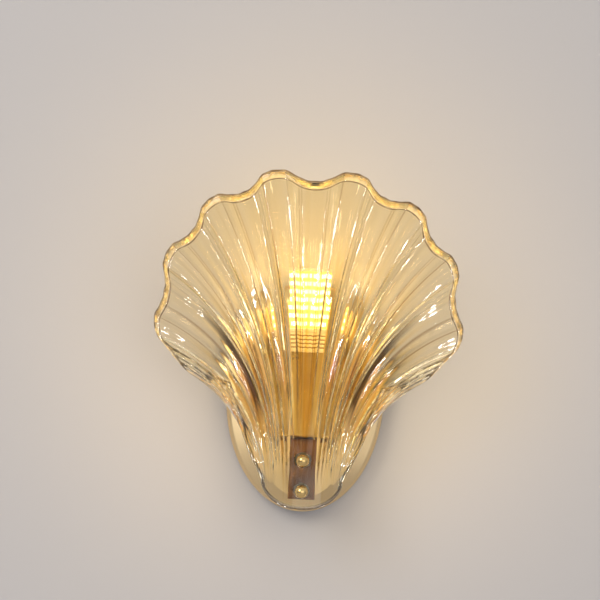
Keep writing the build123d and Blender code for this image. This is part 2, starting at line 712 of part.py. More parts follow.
def front_point(share, along, lobed=True, flute_depth=FLUTE_DEPTH):
    """A point of the shell's front, on the curve that a rib follows from the tongue to the rim."""
    foot = tongue_point(share)
    tip = rim_point(share, lobed)
    out = between(RIB_STEP, abs(share)) * (1 if share > 0 else -1)
    bend_x = foot.X + out
    bend_z = foot.Z + between(RIB_RISE, abs(share))
    low, mid, high = (1 - along) ** 2, 2 * along * (1 - along), along ** 2
    x = low * foot.X + mid * bend_x + high * tip.X
    z = low * foot.Z + mid * bend_z + high * tip.Z
    flare = (along ** 2 + along ** 6) / 2
    y = foot.Y + (tip.Y - foot.Y) * flare
    if lobed:
        grown = min(1, max(0, along - FLUTES_START) / (FLUTES_FULL_AT - FLUTES_START)) ** FLUTES_EASE
        y += flute_depth * grown * flute_wave(abs(share) * side_angle)
    return Vector(x, y, z)


def back_point(share, along):
    """The same point on the shell's back: a wall's thickness behind, square to the plain fan."""
    step = 0.01
    left, right = max(-1, share - step), min(1, share + step)
    low, high = max(0, along - step), min(1, along + step)
    across = front_point(right, along, False) - front_point(left, along, False)
    upward = front_point(share, high, False) - front_point(share, low, False)
    backward = upward.cross(across).normalized()
    fluted = front_point(share, along, flute_depth=FLUTE_DEPTH * BACK_SHARE)
    return fluted + backward * (GLASS_T + RIM_EXTRA_T * along ** 4)


def glass_front_depth(z):
    """Depth of the shell's front on the middle line, at a height, found by halving."""
    low, high = 0.0, 1.0
    for _ in range(30):
        middle = (low + high) / 2
        if front_point(0, middle).Z < z:
            low = middle
        else:
            high = middle
    return -front_point(0, low).Y


lobe_steps = [step / STEPS_A_LOBE for step in range(lobes_a_side * STEPS_A_LOBE + 1)]
half_shares = [between(LOBE_ANGLES, lobes) / side_angle for lobes in lobe_steps]
shares = [-share for share in reversed(half_shares[1:])] + half_shares
stations = [step / STEPS_A_RIB for step in range(STEPS_A_RIB + 1)]
front_ribs = [Edge.make_spline([front_point(share, along) for along in stations]) for share in shares]
back_ribs = [Edge.make_spline([back_point(share, along) for along in stations]) for share in shares]

glass_faces = []
for front, next_front, back, next_back in zip(front_ribs, front_ribs[1:], back_ribs, back_ribs[1:]):
    glass_faces.append(Face.make_surface_from_curves(front, next_front))
    glass_faces.append(Face.make_surface_from_curves(back, next_back))
    for end in (0, 1):
        front_edge = Edge.make_line(front @ end, next_front @ end)
        back_edge = Edge.make_line(back @ end, next_back @ end)
        glass_faces.append(Face.make_surface_from_curves(front_edge, back_edge))
for side in (0, -1):
    glass_faces.append(Face.make_surface_from_curves(front_ribs[side], back_ribs[side]))

shade_screw_heights = (SHADE_SCREW_Z, SHADE_SCREW_Z - SHADE_SCREW_PITCH)
with BuildPart() as glass_shade:
    add(Solid(Shell(glass_faces)))
    with BuildSketch(Plane.XZ):
        with Locations(*[(0, z) for z in shade_screw_heights]):
            Circle(GLASS_HOLE_R)
    extrude(amount=rim_depth, mode=Mode.SUBTRACT)
write(glass_shade, "glass_shade")

# ---------------------------------------------------------------- what holds the glass
with BuildPart() as shade_pads:
    for z in shade_screw_heights:
        glass_back = glass_front_depth(z) - GLASS_T
        with BuildSketch(Plane.XZ.offset(bar_front_depth)):
            with Locations((0, z)):
                Circle(PAD_R)
                Circle(M4_R + SCREW_GAP, mode=Mode.SUBTRACT)
        extrude(amount=glass_back - bar_front_depth - FIT_GAP)
write(shade_pads, "shade_pads")

with BuildPart() as shade_washers:
    for z in shade_screw_heights:
        with BuildSketch(Plane.XZ.offset(glass_front_depth(z) + FIT_GAP)):
            with Locations((0, z)):
                Circle(WASHER_R)
                Circle(M4_R + SCREW_GAP, mode=Mode.SUBTRACT)
        extrude(amount=WASHER_T)
write(shade_washers, "shade_washers")


def ball_screw(z):
    """A screw with a ball for a head, from the front of its washer to just behind the bar."""
    seat_depth = glass_front_depth(z) + FIT_GAP + WASHER_T + THREAD_GAP
    shank_l = seat_depth - bar_back_depth + SCREW_OUT
    ball_centre = BALL_HEAD_H - BALL_R
    with BuildPart() as screw:
        with BuildSketch(Plane.YZ):
            with Locations((-seat_depth - ball_centre, z)):
                Circle(BALL_R)
            with Locations((-seat_depth, z)):
                Rectangle(2 * BALL_R, 2 * BALL_R, align=(Align.MIN, Align.CENTER), mode=Mode.SUBTRACT)
            with Locations((-seat_depth - ball_centre, z)):
                Rectangle(ball_centre + shank_l, M4_R, align=(Align.MIN, Align.MIN))
            with Locations((-seat_depth, z)):
                Rectangle(4 * BALL_R + 2 * shank_l, 2 * BALL_R, align=(Align.CENTER, Align.MAX),
                          mode=Mode.SUBTRACT)
        revolve(axis=Axis((0, 0, z), (0, 1, 0)))
    return screw


shade_screw_upper = ball_screw(shade_screw_heights[0])
write(shade_screw_upper, "shade_screw_upper")
shade_screw_lower = ball_screw(shade_screw_heights[1])
write(shade_screw_lower, "shade_screw_lower")
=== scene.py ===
"""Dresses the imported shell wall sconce: its glass shell, materials, light and camera.

The glass and the lamp's windows are worked out in millimetres, and everything else is in metres.
"""
from itertools import product
from math import atan2, cos, pi, radians, sin

import bpy
import numpy as np
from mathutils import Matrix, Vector


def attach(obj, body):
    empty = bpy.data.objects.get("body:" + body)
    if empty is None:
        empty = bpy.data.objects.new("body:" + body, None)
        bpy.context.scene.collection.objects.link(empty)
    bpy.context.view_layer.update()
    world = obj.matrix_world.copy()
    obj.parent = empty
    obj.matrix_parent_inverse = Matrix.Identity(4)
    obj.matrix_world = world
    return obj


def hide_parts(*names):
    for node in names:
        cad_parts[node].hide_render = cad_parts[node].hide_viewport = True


MM = 0.001
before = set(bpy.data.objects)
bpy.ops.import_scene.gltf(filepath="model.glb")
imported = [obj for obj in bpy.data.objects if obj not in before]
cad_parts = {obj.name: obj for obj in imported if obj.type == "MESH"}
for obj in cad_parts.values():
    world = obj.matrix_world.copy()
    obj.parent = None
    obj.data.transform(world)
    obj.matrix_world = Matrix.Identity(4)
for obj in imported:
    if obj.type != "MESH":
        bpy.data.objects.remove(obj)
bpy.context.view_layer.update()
scene = bpy.context.scene
scene.view_settings.view_transform = "Standard"
scene.cycles.max_bounces = 24          # light runs a long way inside the thick edge of the glass
scene.cycles.glossy_bounces = 16
scene.cycles.transmission_bounces = 20
scene.cycles.caustics_refractive = False        # the glass lets the lamps' light through by its own shader
scene.cycles.caustics_reflective = False

# ---------------------------------------------------------------- camera
PHOTO_ROLL = 2.46           # degrees by which the glass leans to the right in the photograph
camera = bpy.data.objects.new("camera", bpy.data.cameras.new("camera"))
camera.location = (-0.0073, -1.5, 0.0762)
camera.rotation_euler = (pi / 2, -radians(PHOTO_ROLL), 0)
camera.data.lens = 112.64
camera.data.sensor_width = 36
scene.collection.objects.link(camera)
scene.camera = camera


# ---------------------------------------------------------------- node helpers
class Maker:
    """A material's node tree, and short ways to add to it."""

    def __init__(self, name):
        self.material = bpy.data.materials.new(name)
        self.material.use_nodes = True
        self.nodes = self.material.node_tree.nodes
        self.links = self.material.node_tree.links
        self.nodes.clear()
        self.out = self.nodes.new("ShaderNodeOutputMaterial")
        self.coords = self.nodes.new("ShaderNodeTexCoord").outputs["Object"]

    def add(self, kind, **sockets):
        node = self.nodes.new("ShaderNode" + kind)
        for name, value in sockets.items():
            self.feed(node.inputs[name.replace("_", " ")], value)
        return node

    def feed(self, socket, value):
        if isinstance(value, bpy.types.NodeSocket):
            self.links.new(value, socket)
        else:
            socket.default_value = value

    def scaled(self, vector, scale):
        """A vector, scaled apart along each axis."""
        return self.add("Mapping", Vector=vector, Scale=scale).outputs["Vector"]

    def stretched(self, scale):
        """Object coordinates, scaled apart along each axis."""
        return self.scaled(self.coords, scale)

    def noise(self, scale, detail=3.0, roughness=0.5, at=None, distortion=0.0):
        node = self.add("TexNoise", Vector=at or self.coords, Scale=scale, Detail=detail,
                        Roughness=roughness, Distortion=distortion)
        return node.outputs["Fac"]

    def spots(self, scale, at=None):
        node = self.add("TexVoronoi", Vector=at or self.coords, Scale=scale)
        return node.outputs["Distance"]

    def span(self, value, low, high, start=0.3, end=0.7):
        """A value turned into numbers that run from low at its start to high at its end, and stop there."""
        node = self.nodes.new("ShaderNodeMapRange")
        for socket, number in zip(("From Min", "From Max", "To Min", "To Max"), (start, end, low, high)):
            node.inputs[socket].default_value = number
        self.feed(node.inputs["Value"], value)
        return node.outputs["Result"]

    def colours(self, value, *stops):
        """A colour ramp through (place, colour) stops."""
        ramp = self.add("ValToRGB", Fac=value)
        elements = ramp.color_ramp.elements
        while len(elements) < len(stops):
            elements.new(0.5)
        for element, (place, colour) in zip(elements, stops):
            element.position = place
            element.color = (*colour, 1)
        return ramp.outputs["Color"]

    def maths(self, kind, *numbers):
        node = self.nodes.new("ShaderNodeMath")
        node.operation = kind
        for socket, number in zip(node.inputs, numbers):
            self.feed(socket, number)
        return node.outputs["Value"]

    def times(self, result, *numbers):
        for number in numbers:
            result = self.maths("MULTIPLY", result, number)
        return result

    def plus(self, first, second):
        return self.maths("ADD", first, second)

    def gap(self, value, middle):
        """How far a value is from a middle one, without its sign."""
        return self.maths("ABSOLUTE", self.maths("SUBTRACT", value, middle))

    def multiply(self, share, first, second):
        """The first colour, with a share of the second multiplied in."""
        node = self.nodes.new("ShaderNodeMix")
        node.data_type, node.blend_type = "RGBA", "MULTIPLY"
        if isinstance(second, tuple):
            second = (*second, 1)
        for index, value in ((0, share), (6, first), (7, second)):
            self.feed(node.inputs[index], value)
        return node.outputs[2]

    def either(self, share, first, second):
        """The first shader, or the second one where the share is 1."""
        node = self.add("MixShader", Fac=share)
        self.links.new(first.outputs[0], node.inputs[1])
        self.links.new(second.outputs[0], node.inputs[2])
        return node.outputs[0]

    def height(self):
        return self.add("SeparateXYZ", Vector=self.coords).outputs["Z"]

    def attribute(self, name):
        node = self.nodes.new("ShaderNodeAttribute")
        node.attribute_name = name
        return node.outputs["Fac"]

    def bump(self, height, depth, strength=1.0, over=None):
        """Dents as deep as depth, on top of the normal of earlier ones."""
        node = self.add("Bump", Height=height, Strength=strength, Distance=depth)
        if over:
            self.feed(node.inputs["Normal"], over)
        return node.outputs["Normal"]

    def surface(self, shader):
        self.links.new(shader, self.out.inputs["Surface"])


def put_on(material, *names):
    """Gives a material to CAD nodes in place of the one they came with."""
    for name in names:
        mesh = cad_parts[name].data
        if mesh.materials:
            for index in range(len(mesh.materials)):
                mesh.materials[index] = material
        else:
            mesh.materials.append(material)


# ---------------------------------------------------------------- the glass shell's form
# The shell is a fan of ribs, as in the CAD model. A rib's share runs from -1 at the left side edge to 1 at
# the right one, and its length from 0 at the tongue's end to 1 at the rim.
GLASS_T = 5.0
RIM_EXTRA_T = 2.0
TONGUE_DEPTH = 70.0
RIM_DEPTH = 123.0
TONGUE_HALF_W = 31.5
TONGUE_ARC_Z = -62.0
TONGUE_ARC_H = 21.0
TONGUE_CURL = 17.0
RIM_Z = 54.4
RIM_WRAP = 0.53
RIM_SQUARE = 1.3            # how flat the outline's crests and valleys are
FLUTE_DEPTH = 3.4
FLUTE_STEEP = 2.0           # a flute's floor and crest are flat, and its walls this much steeper than a sine
FLUTE_SOFT = 0.008          # rounding of the flutes' corners, in lobes
BACK_SHARE = 0.6            # how much of the flutes' depth the back follows
FLUTES_START = 0.14
FLUTES_FULL_AT = 0.55
FLUTES_EASE = 1.2
SIDE_ANGLE = 126.0
LOBES_A_SIDE = 5
LOBE_ANGLES = ((0, 0), (0.5, 15.75), (1, 28.0), (1.5, 40.3), (2, 52.5), (2.5, 64.8), (3, 77.8),
               (3.5, 92.5), (4, 104.5), (4.5, 115.0), (5, 126.0))
RIM_RADII = ((0, 110.8), (40, 114.5), (66, 114.0), (92, 111.5), (104, 107.0), (115, 93.0),
             (126, 78.0), (140, 59.0))
LOBE_HEIGHTS = ((0, 5.5), (16, 5.0), (40, 4.2), (92, 3.6), (104, 2.5), (126, 1.5), (140, 1.0))
RIB_RISE = ((0, 124.0), (0.3, 120.0), (0.6, 111.0), (0.8, 75.0), (1, 37.0), (1.1, 18.0))
RIB_STEP = ((0, 0.0), (0.6, 0.0), (0.8, 10.0), (1, 18.5), (1.1, 22.7))
SCREW_HEIGHTS = (-45.9, -69.4)
GLASS_HOLE_R = 3.0
HOLE_SIDES = 48
CUTTER_LENGTH = 50.0

COLUMNS_A_LOBE = 56
ROWS = 80
FINE_RIBS_A_LOBE = 6        # faint pressed lines on the back
FINE_RIB_DEPTH = 0.3
FINE_RIBS_START = 0.4       # where they begin along a rib, and how far on they are full
FINE_RIBS_EASE = 0.3
ROUND_RIBS_A_LOBE = 3       # half-round ribs on the front, deepest half way up
ROUND_RIB_DEPTH = 0.4
ROUND_RIB_LEFT = 0.2        # what is left of them at the rim
ROUND_RIBS_END = 0.95       # where only that is left, and over how much of a rib they fade
ROUND_RIBS_EASE = 0.4
ROUND_RIB_LEVEL = 0.6       # the height, as a share of a rib's, that lies on the plain form
SMOOTH_STEPS = 9            # samples that round a corner
TANGENT_STEP = 0.01         # how far apart the points are that give the shell's direction
RIM_INSET = 0.997           # where the back's rounding into the rim starts, as a share of a rib
FRONT_INSET = 0.009         # how much earlier it starts on the front
CORNER_INSET = 0.02         # how much earlier it starts at the wings' corners
CORNER_START = 0.93         # the share at which a wing's corner starts
CORNER_EASE = 0.07          # over how much of the share it comes in
LAST_ROWS = (0.985, 0.996, 1)       # rows that lie close together at the rim
ROUND_STEPS = 12
TONGUE_SQUARE = 0.2         # how far inside its corners the tongue's thickness is squared up to
EDGE_LINES = (1, 1, 0, -1, -1, -1, -0.6, 1, 1, 1, 1, 1, 1)  # painted shade and glow on the edge's rings, from front to back: 1 is dark, -1 is lit
EDGE_BULGE = 0.4            # how far the glass's edge stands out, as a share of half its thickness
EDGE_SQUARE = 0.55          # 1 is a round edge, and less is flatter with tighter corners


def read(stations, at, soft=0.0):
    """The value at each place, with the corners between stations rounded over a soft width."""
    places, values = zip(*stations)
    steps = np.linspace(-soft, soft, SMOOTH_STEPS)
    return np.mean([np.interp(at + step, places, values) for step in steps], axis=0)


def grown(along, start, length):
    """How far something has grown: 0 up to start, and 1 a length further on."""
    return np.clip((along - start) / length, 0, 1)


def lobes_at(share):
    """How many lobes lie between the middle and a rib."""
    lobes, angles = zip(*LOBE_ANGLES)
    return np.interp(np.abs(share) * SIDE_ANGLE, angles, lobes)


def rim_wave(share):
    """The outline's wave: 1 on a lobe's crest and -1 in a valley."""
    return np.tanh(-RIM_SQUARE * np.cos(2 * pi * lobes_at(share))) / np.tanh(RIM_SQUARE)


def flute_wave(share, soft):
    """The flutes' depth: 1 on a flat crest and -1 on a flat floor, with rounded corners."""
    lobes = lobes_at(share)
    steps = np.linspace(-2 * soft, 2 * soft, SMOOTH_STEPS)
    waves = [np.clip(-FLUTE_STEEP * np.cos(2 * pi * (lobes + step)), -1, 1) for step in steps]
    return np.mean(waves, axis=0)


def fan(share, along, lobed=True):
    """Points of the shell's front, without its flutes' depth."""
    size = np.abs(share)
    turn = share * pi / 2
    foot_x = TONGUE_HALF_W * np.sin(turn)
    foot_y = -(TONGUE_DEPTH - TONGUE_CURL * np.abs(np.sin(turn)) ** 3)
    foot_z = TONGUE_ARC_Z - TONGUE_ARC_H * np.cos(turn)
    radius = read(RIM_RADII, size * SIDE_ANGLE, 5)
    if lobed:
        radius = radius + read(LOBE_HEIGHTS, size * SIDE_ANGLE, 5) * rim_wave(share)
    turn = np.radians(share * SIDE_ANGLE)
    tip_x = radius * np.sin(turn)
    tip_y = -RIM_DEPTH * np.cos(RIM_WRAP * turn)
    tip_z = RIM_Z + radius * np.cos(turn)
    bend_x = foot_x + read(RIB_STEP, size, 0.05) * np.sign(share)
    bend_z = foot_z + read(RIB_RISE, size, 0.05)
    low, mid, high = (1 - along) ** 2, 2 * along * (1 - along), along ** 2
    flare = (along ** 2 + along ** 6) / 2
    return np.stack([low * foot_x + mid * bend_x + high * tip_x,
                     foot_y + (tip_y - foot_y) * flare,
                     low * foot_z + mid * bend_z + high * tip_z], axis=-1)


def unit(vectors):
    return vectors / np.linalg.norm(vectors, axis=-1, keepdims=True)


def glass_sides():
    """The front and back of the shell as grids of points, with each point's pitch, lobes and place along."""
    count = 2 * LOBES_A_SIDE * COLUMNS_A_LOBE + 1
    place = np.linspace(-LOBES_A_SIDE, LOBES_A_SIDE, count)
    share = np.sign(place) * np.interp(np.abs(place), *zip(*LOBE_ANGLES)) / SIDE_ANGLE
    share = share[:, None]
    corner = grown(np.abs(share), CORNER_START, CORNER_EASE) ** 2
    along = np.append(np.linspace(0, LAST_ROWS[0], ROWS - 2), LAST_ROWS[1:])
    along = along[None, :] * (RIM_INSET - CORNER_INSET * corner)
    share = share + 0 * along               # a grid, as along is
    lobes = lobes_at(share)

    fluted = grown(along, FLUTES_START, FLUTES_FULL_AT - FLUTES_START) ** FLUTES_EASE
    front = fan(share, along * (1 - FRONT_INSET))
    front[..., 1] += FLUTE_DEPTH * fluted * flute_wave(share, FLUTE_SOFT)
    swell = fluted * (ROUND_RIB_LEFT + (1 - ROUND_RIB_LEFT) * grown(-along, -ROUND_RIBS_END, ROUND_RIBS_EASE))
    round_ribs = np.abs(np.cos(pi * ROUND_RIBS_A_LOBE * lobes)) - ROUND_RIB_LEVEL
    front[..., 1] -= ROUND_RIB_DEPTH * swell * round_ribs

    inner = share * (1 - TONGUE_SQUARE * (1 - along) ** 4)
    inner_left, inner_right = np.maximum(-1, inner - TANGENT_STEP), np.minimum(1, inner + TANGENT_STEP)
    across = fan(inner_right, along, False) - fan(inner_left, along, False)
    above, below = np.minimum(1, along + TANGENT_STEP), np.maximum(0, along - TANGENT_STEP)
    upward = fan(inner, above, False) - fan(inner, below, False)
    backward = unit(np.cross(upward, across))
    fine = FINE_RIB_DEPTH * grown(along, FINE_RIBS_START, FINE_RIBS_EASE)
    fine = fine * np.cos(2 * pi * FINE_RIBS_A_LOBE * lobes)
    back = fan(share, along)
    back[..., 1] += FLUTE_DEPTH * BACK_SHARE * fluted * flute_wave(share, 2 * FLUTE_SOFT)
    back = back + backward * (GLASS_T + RIM_EXTRA_T * along ** 4 + fine)[..., None]

    turned = np.abs(lobes_at(inner_right) * np.sign(inner_right) - lobes_at(inner_left) * np.sign(inner_left))
    pitch = np.linalg.norm(across, axis=-1) / np.maximum(0.01, turned)
    return front, back, pitch, lobes * np.sign(share), along


def glass_mesh():
    """The whole shell: front, back and a rounded edge between them, with what the glass's material reads."""
    front, back, pitch, lobes, along = glass_sides()
    columns, rows = front.shape[:2]
    loop = [(i, 0) for i in range(columns)]
    loop += [(columns - 1, j) for j in range(1, rows)]
    loop += [(i, rows - 1) for i in range(columns - 2, -1, -1)]
    loop += [(0, j) for j in range(rows - 2, 0, -1)]
    front_edge = np.array([front[i, j] for i, j in loop])
    back_edge = np.array([back[i, j] for i, j in loop])
    middle, half = (front_edge + back_edge) / 2, (front_edge - back_edge) / 2
    outward = unit(np.cross(np.roll(middle, 1, axis=0) - np.roll(middle, -1, axis=0), half))
    outward *= np.sign(np.sum(outward * (middle - middle.mean(axis=0))))
    reach = np.linalg.norm(half, axis=1, keepdims=True)

    points = [front.reshape(-1, 3), back.reshape(-1, 3)]
    size = columns * rows
    rings = [[i * rows + j for i, j in loop]]
    for step in range(1, ROUND_STEPS):
        turn = pi * step / ROUND_STEPS
        rings.append([2 * size + (step - 1) * len(loop) + k for k in range(len(loop))])
        level = abs(cos(turn)) ** EDGE_SQUARE * (1 if turn < pi / 2 else -1)
        points.append(middle + half * level + outward * reach * EDGE_BULGE * sin(turn) ** EDGE_SQUARE)
    rings.append([size + i * rows + j for i, j in loop])

    faces = []
    for i in range(columns - 1):
        for j in range(rows - 1):
            a, b = i * rows + j, (i + 1) * rows + j
            faces.append((a, b, b + 1, a + 1))
            faces.append((size + a + 1, size + b + 1, size + b, size + a))
    for ring, following in zip(rings, rings[1:]):
        for k in range(len(ring)):
            n = (k + 1) % len(ring)
            faces.append((ring[n], ring[k], following[k], following[n]))
    mesh = bpy.data.meshes.new("glass_shell")
    mesh.from_pydata((np.concatenate(points) * MM).tolist(), [], faces)

    def at_points(grid):
        """A grid's numbers at every point of the mesh."""
        ring = np.array([grid[i, j] for i, j in loop])
        return np.concatenate([grid.ravel(), grid.ravel()] + [ring] * (ROUND_STEPS - 1))

    # shade and glow painted on the edge's rings, for the glass's material
    edge = np.zeros(2 * size)
    edge[rings[0]], edge[rings[-1]] = EDGE_LINES[0], EDGE_LINES[-1]
    edge = np.concatenate([edge] + [np.full(len(loop), line) for line in EDGE_LINES[1:-1]])
    for name, numbers in (("pitch", at_points(pitch)), ("edge", edge)):
        attribute = mesh.attributes.new(name, "FLOAT", "POINT")
        attribute.data.foreach_set("value", numbers.astype(np.float32))
    corners = np.empty(len(mesh.loops), dtype=np.int32)
    mesh.loops.foreach_get("vertex_index", corners)
    ribs = np.stack([at_points(lobes)[corners], at_points(along)[corners]], axis=1)
    mesh.uv_layers.new(name="ribs").data.foreach_set("uv", ribs.ravel().astype(np.float32))
    return mesh


def smooth(mesh, corner):
    """Shades a mesh smooth, apart from edges that turn by more degrees than a corner does."""
    for polygon in mesh.polygons:
        polygon.use_smooth = True
    mesh.set_sharp_from_angle(angle=radians(corner))


def drilled(shell):
    """Cuts the two screw holes through the tongue."""
    cutters = []
    for height in SCREW_HEIGHTS:
        bpy.ops.mesh.primitive_cylinder_add(
            vertices=HOLE_SIDES, radius=GLASS_HOLE_R * MM, depth=CUTTER_LENGTH * MM,
            location=(0, -TONGUE_DEPTH * MM, height * MM), rotation=(pi / 2, 0, 0))
        cutters.append(bpy.context.object)
    for cutter in cutters:
        cut = shell.modifiers.new("hole", "BOOLEAN")
        cut.operation = "DIFFERENCE"
        cut.solver = "EXACT"
        cut.object = cutter
    cut_shell = shell.evaluated_get(bpy.context.evaluated_depsgraph_get())
    finished = bpy.data.meshes.new_from_object(cut_shell)
    shell.modifiers.clear()
    shell.data = finished
    for cutter in cutters:
        bpy.data.objects.remove(cutter)


shell = bpy.data.objects.new("glass_shell", glass_mesh())
scene.collection.objects.link(shell)
drilled(shell)
smooth(shell.data, 60)


# ---------------------------------------------------------------- the lamp's light windows
# Each chip of the lamp has a raised window of yellow phosphor, which is what glows.
LAMP_Y = -46.0
CHIPS_Z = 77.0
CORE_SIDES = 10
CHIP_FACE_R = 13.3
CHIP_ROWS = 7
CHIP_ROW_PITCH = 6.2
CHIP_COLUMN_PITCH = 4.1
WINDOW_W = 1.9
WINDOW_H = 3.1
WINDOW_STEPS = 20
WINDOW_SQUARE = 0.5         # 1 is an oval window, and less has squarer corners
WINDOW_RINGS = ((1.0, -0.1), (1.0, 0.08), (0.9, 0.17), (0.6, 0.24))     # each ring's size and height


def bent(value):
    """A sine or cosine, bent so that a circle becomes a rounded square."""
    return np.sign(value) * abs(value) ** WINDOW_SQUARE


def window_mesh():
    """Rounded, slightly domed windows, two columns to a side of the lamp."""
    points, faces = [], []
    for side, column, row in product(range(CORE_SIDES), (-0.5, 0.5), range(CHIP_ROWS)):
        turn = 2 * pi * (side + 0.5) / CORE_SIDES
        out, across = np.array([cos(turn), sin(turn), 0]), np.array([-sin(turn), cos(turn), 0])
        rise = (row - (CHIP_ROWS - 1) / 2) * CHIP_ROW_PITCH
        middle = (np.array([0, LAMP_Y, CHIPS_Z + rise]) + out * CHIP_FACE_R
                  + across * column * CHIP_COLUMN_PITCH)
        first = len(points)
        for size, lift in WINDOW_RINGS:
            for step in range(WINDOW_STEPS):
                spin = 2 * pi * step / WINDOW_STEPS
                wide = bent(cos(spin)) * WINDOW_W / 2 * size
                high = bent(sin(spin)) * WINDOW_H / 2 * size
                points.append((middle + across * wide + np.array([0, 0, high]) + out * lift) * MM)
        last = first + (len(WINDOW_RINGS) - 1) * WINDOW_STEPS
        for ring in range(first, last, WINDOW_STEPS):
            for step in range(WINDOW_STEPS):
                a, b = ring + step, ring + (step + 1) % WINDOW_STEPS
                faces.append((a, b, b + WINDOW_STEPS, a + WINDOW_STEPS))
        faces.append(tuple(range(last, last + WINDOW_STEPS)))
        faces.append(tuple(range(first + WINDOW_STEPS - 1, first - 1, -1)))
    mesh = bpy.data.meshes.new("lamp_windows")
    mesh.from_pydata([tuple(point) for point in points], [], faces)
    smooth(mesh, 50)
    return mesh


windows = bpy.data.objects.new("lamp_windows", window_mesh())
scene.collection.objects.link(windows)
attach(windows, "lamp")

# ---------------------------------------------------------------- materials
# The dents of the glass's bump are in metres. Its other widths are in millimetres.
STREAK_SCALE = (7, 1.2, 1)      # streaks a lobe, and along a rib
PAINTED_STREAK_SCALE = (4, 0.9, 1)       # the same for the broad painted streaks of refracted light and shade
LINE_W = 0.75                   # the line of painted shade in a flute's corner
LINE_CORE_W = 0.15              # its darkest part
LINE_DENT = 0.00009
FACETS_A_LOBE = 3               # flat-sided ribs on the lower half
FACET_DENT = 0.0022
LINES_A_LOBE = 6                # fine round ribs on the upper half
FINE_DENT = 0.0002
WIDE_PITCH = 50                 # the lobe's width at which the fine ribs are full
SOFT_DENT = 0.0004              # swirls, streaks and seeds
DARK_VALLEY = 2.92              # the valley where a dark wedge of shade is painted, in lobes from the middle
DARK_VALLEY_W = 3.9
DARK_VALLEY_CORE = 0.55         # its darkest part, as a share of that width

PALE, HONEY, AMBER = (1.0, 0.975, 0.92), (1.0, 0.9, 0.66), (0.99, 0.86, 0.56)
# Painted streak colours: the lamp's light and the brass's shade as the ribs refract them.
BROWN_STREAK, ORANGE_STREAK = (0.3, 0.19, 0.05), (0.36, 0.24, 0.07)
GOLD_STREAK, WARM_STREAK = (0.93, 0.69, 0.1), (0.93, 0.68, 0.12)
FAINT_STREAK, NO_STREAK = (1.0, 0.94, 0.76), (1.0, 1.0, 1.0)
# Colours of painted shade in the flutes' corners, the dark wedges and along the edge, and of the edge's
# painted glow.
CORNER_SHADE_BROWN, VALLEY_SHADE_BROWN, EDGE_SHADE_BROWN = (0.3, 0.15, 0.04), (0.05, 0.026, 0.01), (0.06, 0.028, 0.01)
BLACK, EDGE_GLOW = (0, 0, 0), (0.28, 0.19, 0.075)
SHADOW_TINT = (1.0, 0.965, 0.88, 1)
DEEP_TINT = (0.97, 0.86, 0.3, 1)
DEEP_TINT_DENSITY = 12.0


